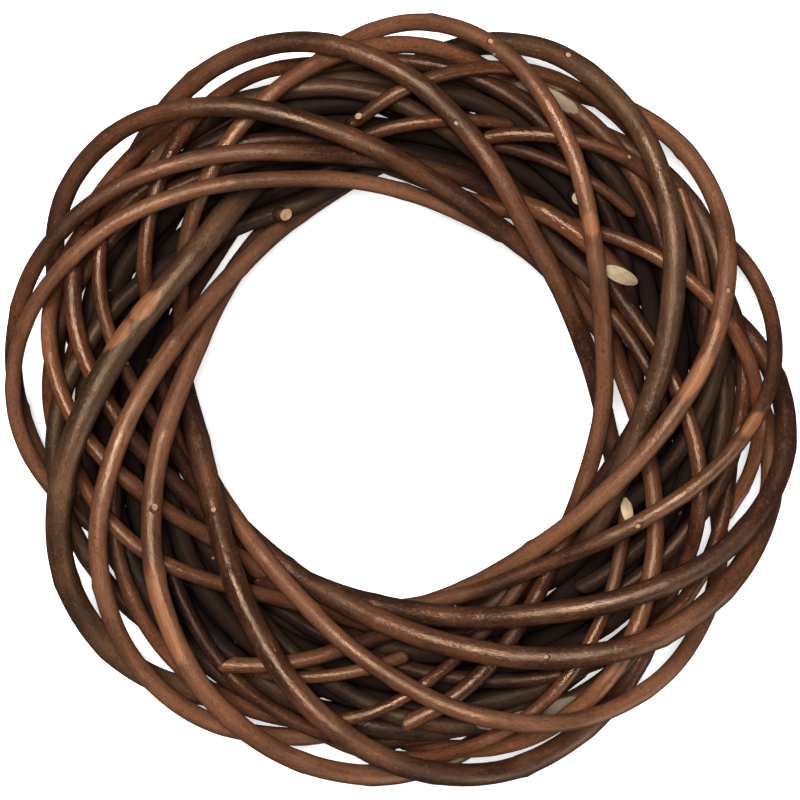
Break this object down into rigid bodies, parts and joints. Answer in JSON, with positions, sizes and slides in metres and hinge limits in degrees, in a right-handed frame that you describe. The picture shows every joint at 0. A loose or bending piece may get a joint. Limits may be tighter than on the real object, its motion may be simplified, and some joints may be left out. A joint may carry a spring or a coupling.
{
  "type": "wreath frame",
  "caption": "Round open frame of interwoven willow rods with bark: outer rods spiral over cross rods, under rods and a rope-like core, round an open centre.",
  "frame": {"origin": "centre of the ring on the surface that its back lies on", "axes": "+Z along the ring's axis, out of the front face; +Y to the top of the ring as it hangs; +X to the right seen from the front"},
  "size_m": [0.3042, 0.2968, 0.0623],
  "materials": {
    "bark": "waxed willow bark",
    "young_bark": "smooth reddish willow bark",
    "old_bark": "dull olive-brown willow bark"
  },
  "bodies": {
    "root": {"outer_rod_1": "bark", "outer_rod_2": "bark", "outer_rod_3": "bark", "outer_rod_4": "bark", "outer_rod_5": "bark", "outer_rod_6": "bark", "outer_rod_7": "bark", "outer_rod_8": "bark", "cross_rod_1": "young_bark", "cross_rod_2": "young_bark", "cross_rod_3": "young_bark", "cross_rod_4": "young_bark", "cross_rod_5": "young_bark", "cross_rod_6": "young_bark", "cross_rod_7": "young_bark", "cross_rod_8": "young_bark", "cross_rod_9": "young_bark", "cross_rod_10": "young_bark", "tucked_twig_1": "young_bark", "tucked_twig_2": "young_bark", "tucked_twig_3": "young_bark", "tucked_twig_4": "young_bark", "tucked_twig_5": "young_bark", "tucked_twig_6": "young_bark", "under_rod_1": "young_bark", "under_rod_2": "young_bark", "under_rod_3": "young_bark", "under_rod_4": "young_bark", "under_rod_5": "young_bark", "under_rod_6": "young_bark", "core_rod_1": "old_bark", "core_rod_2": "old_bark", "core_rod_3": "old_bark", "core_rod_4": "old_bark", "core_rod_5": "old_bark", "core_rod_6": "old_bark", "core_rod_7": "old_bark"}
  },
  "joints": []
}
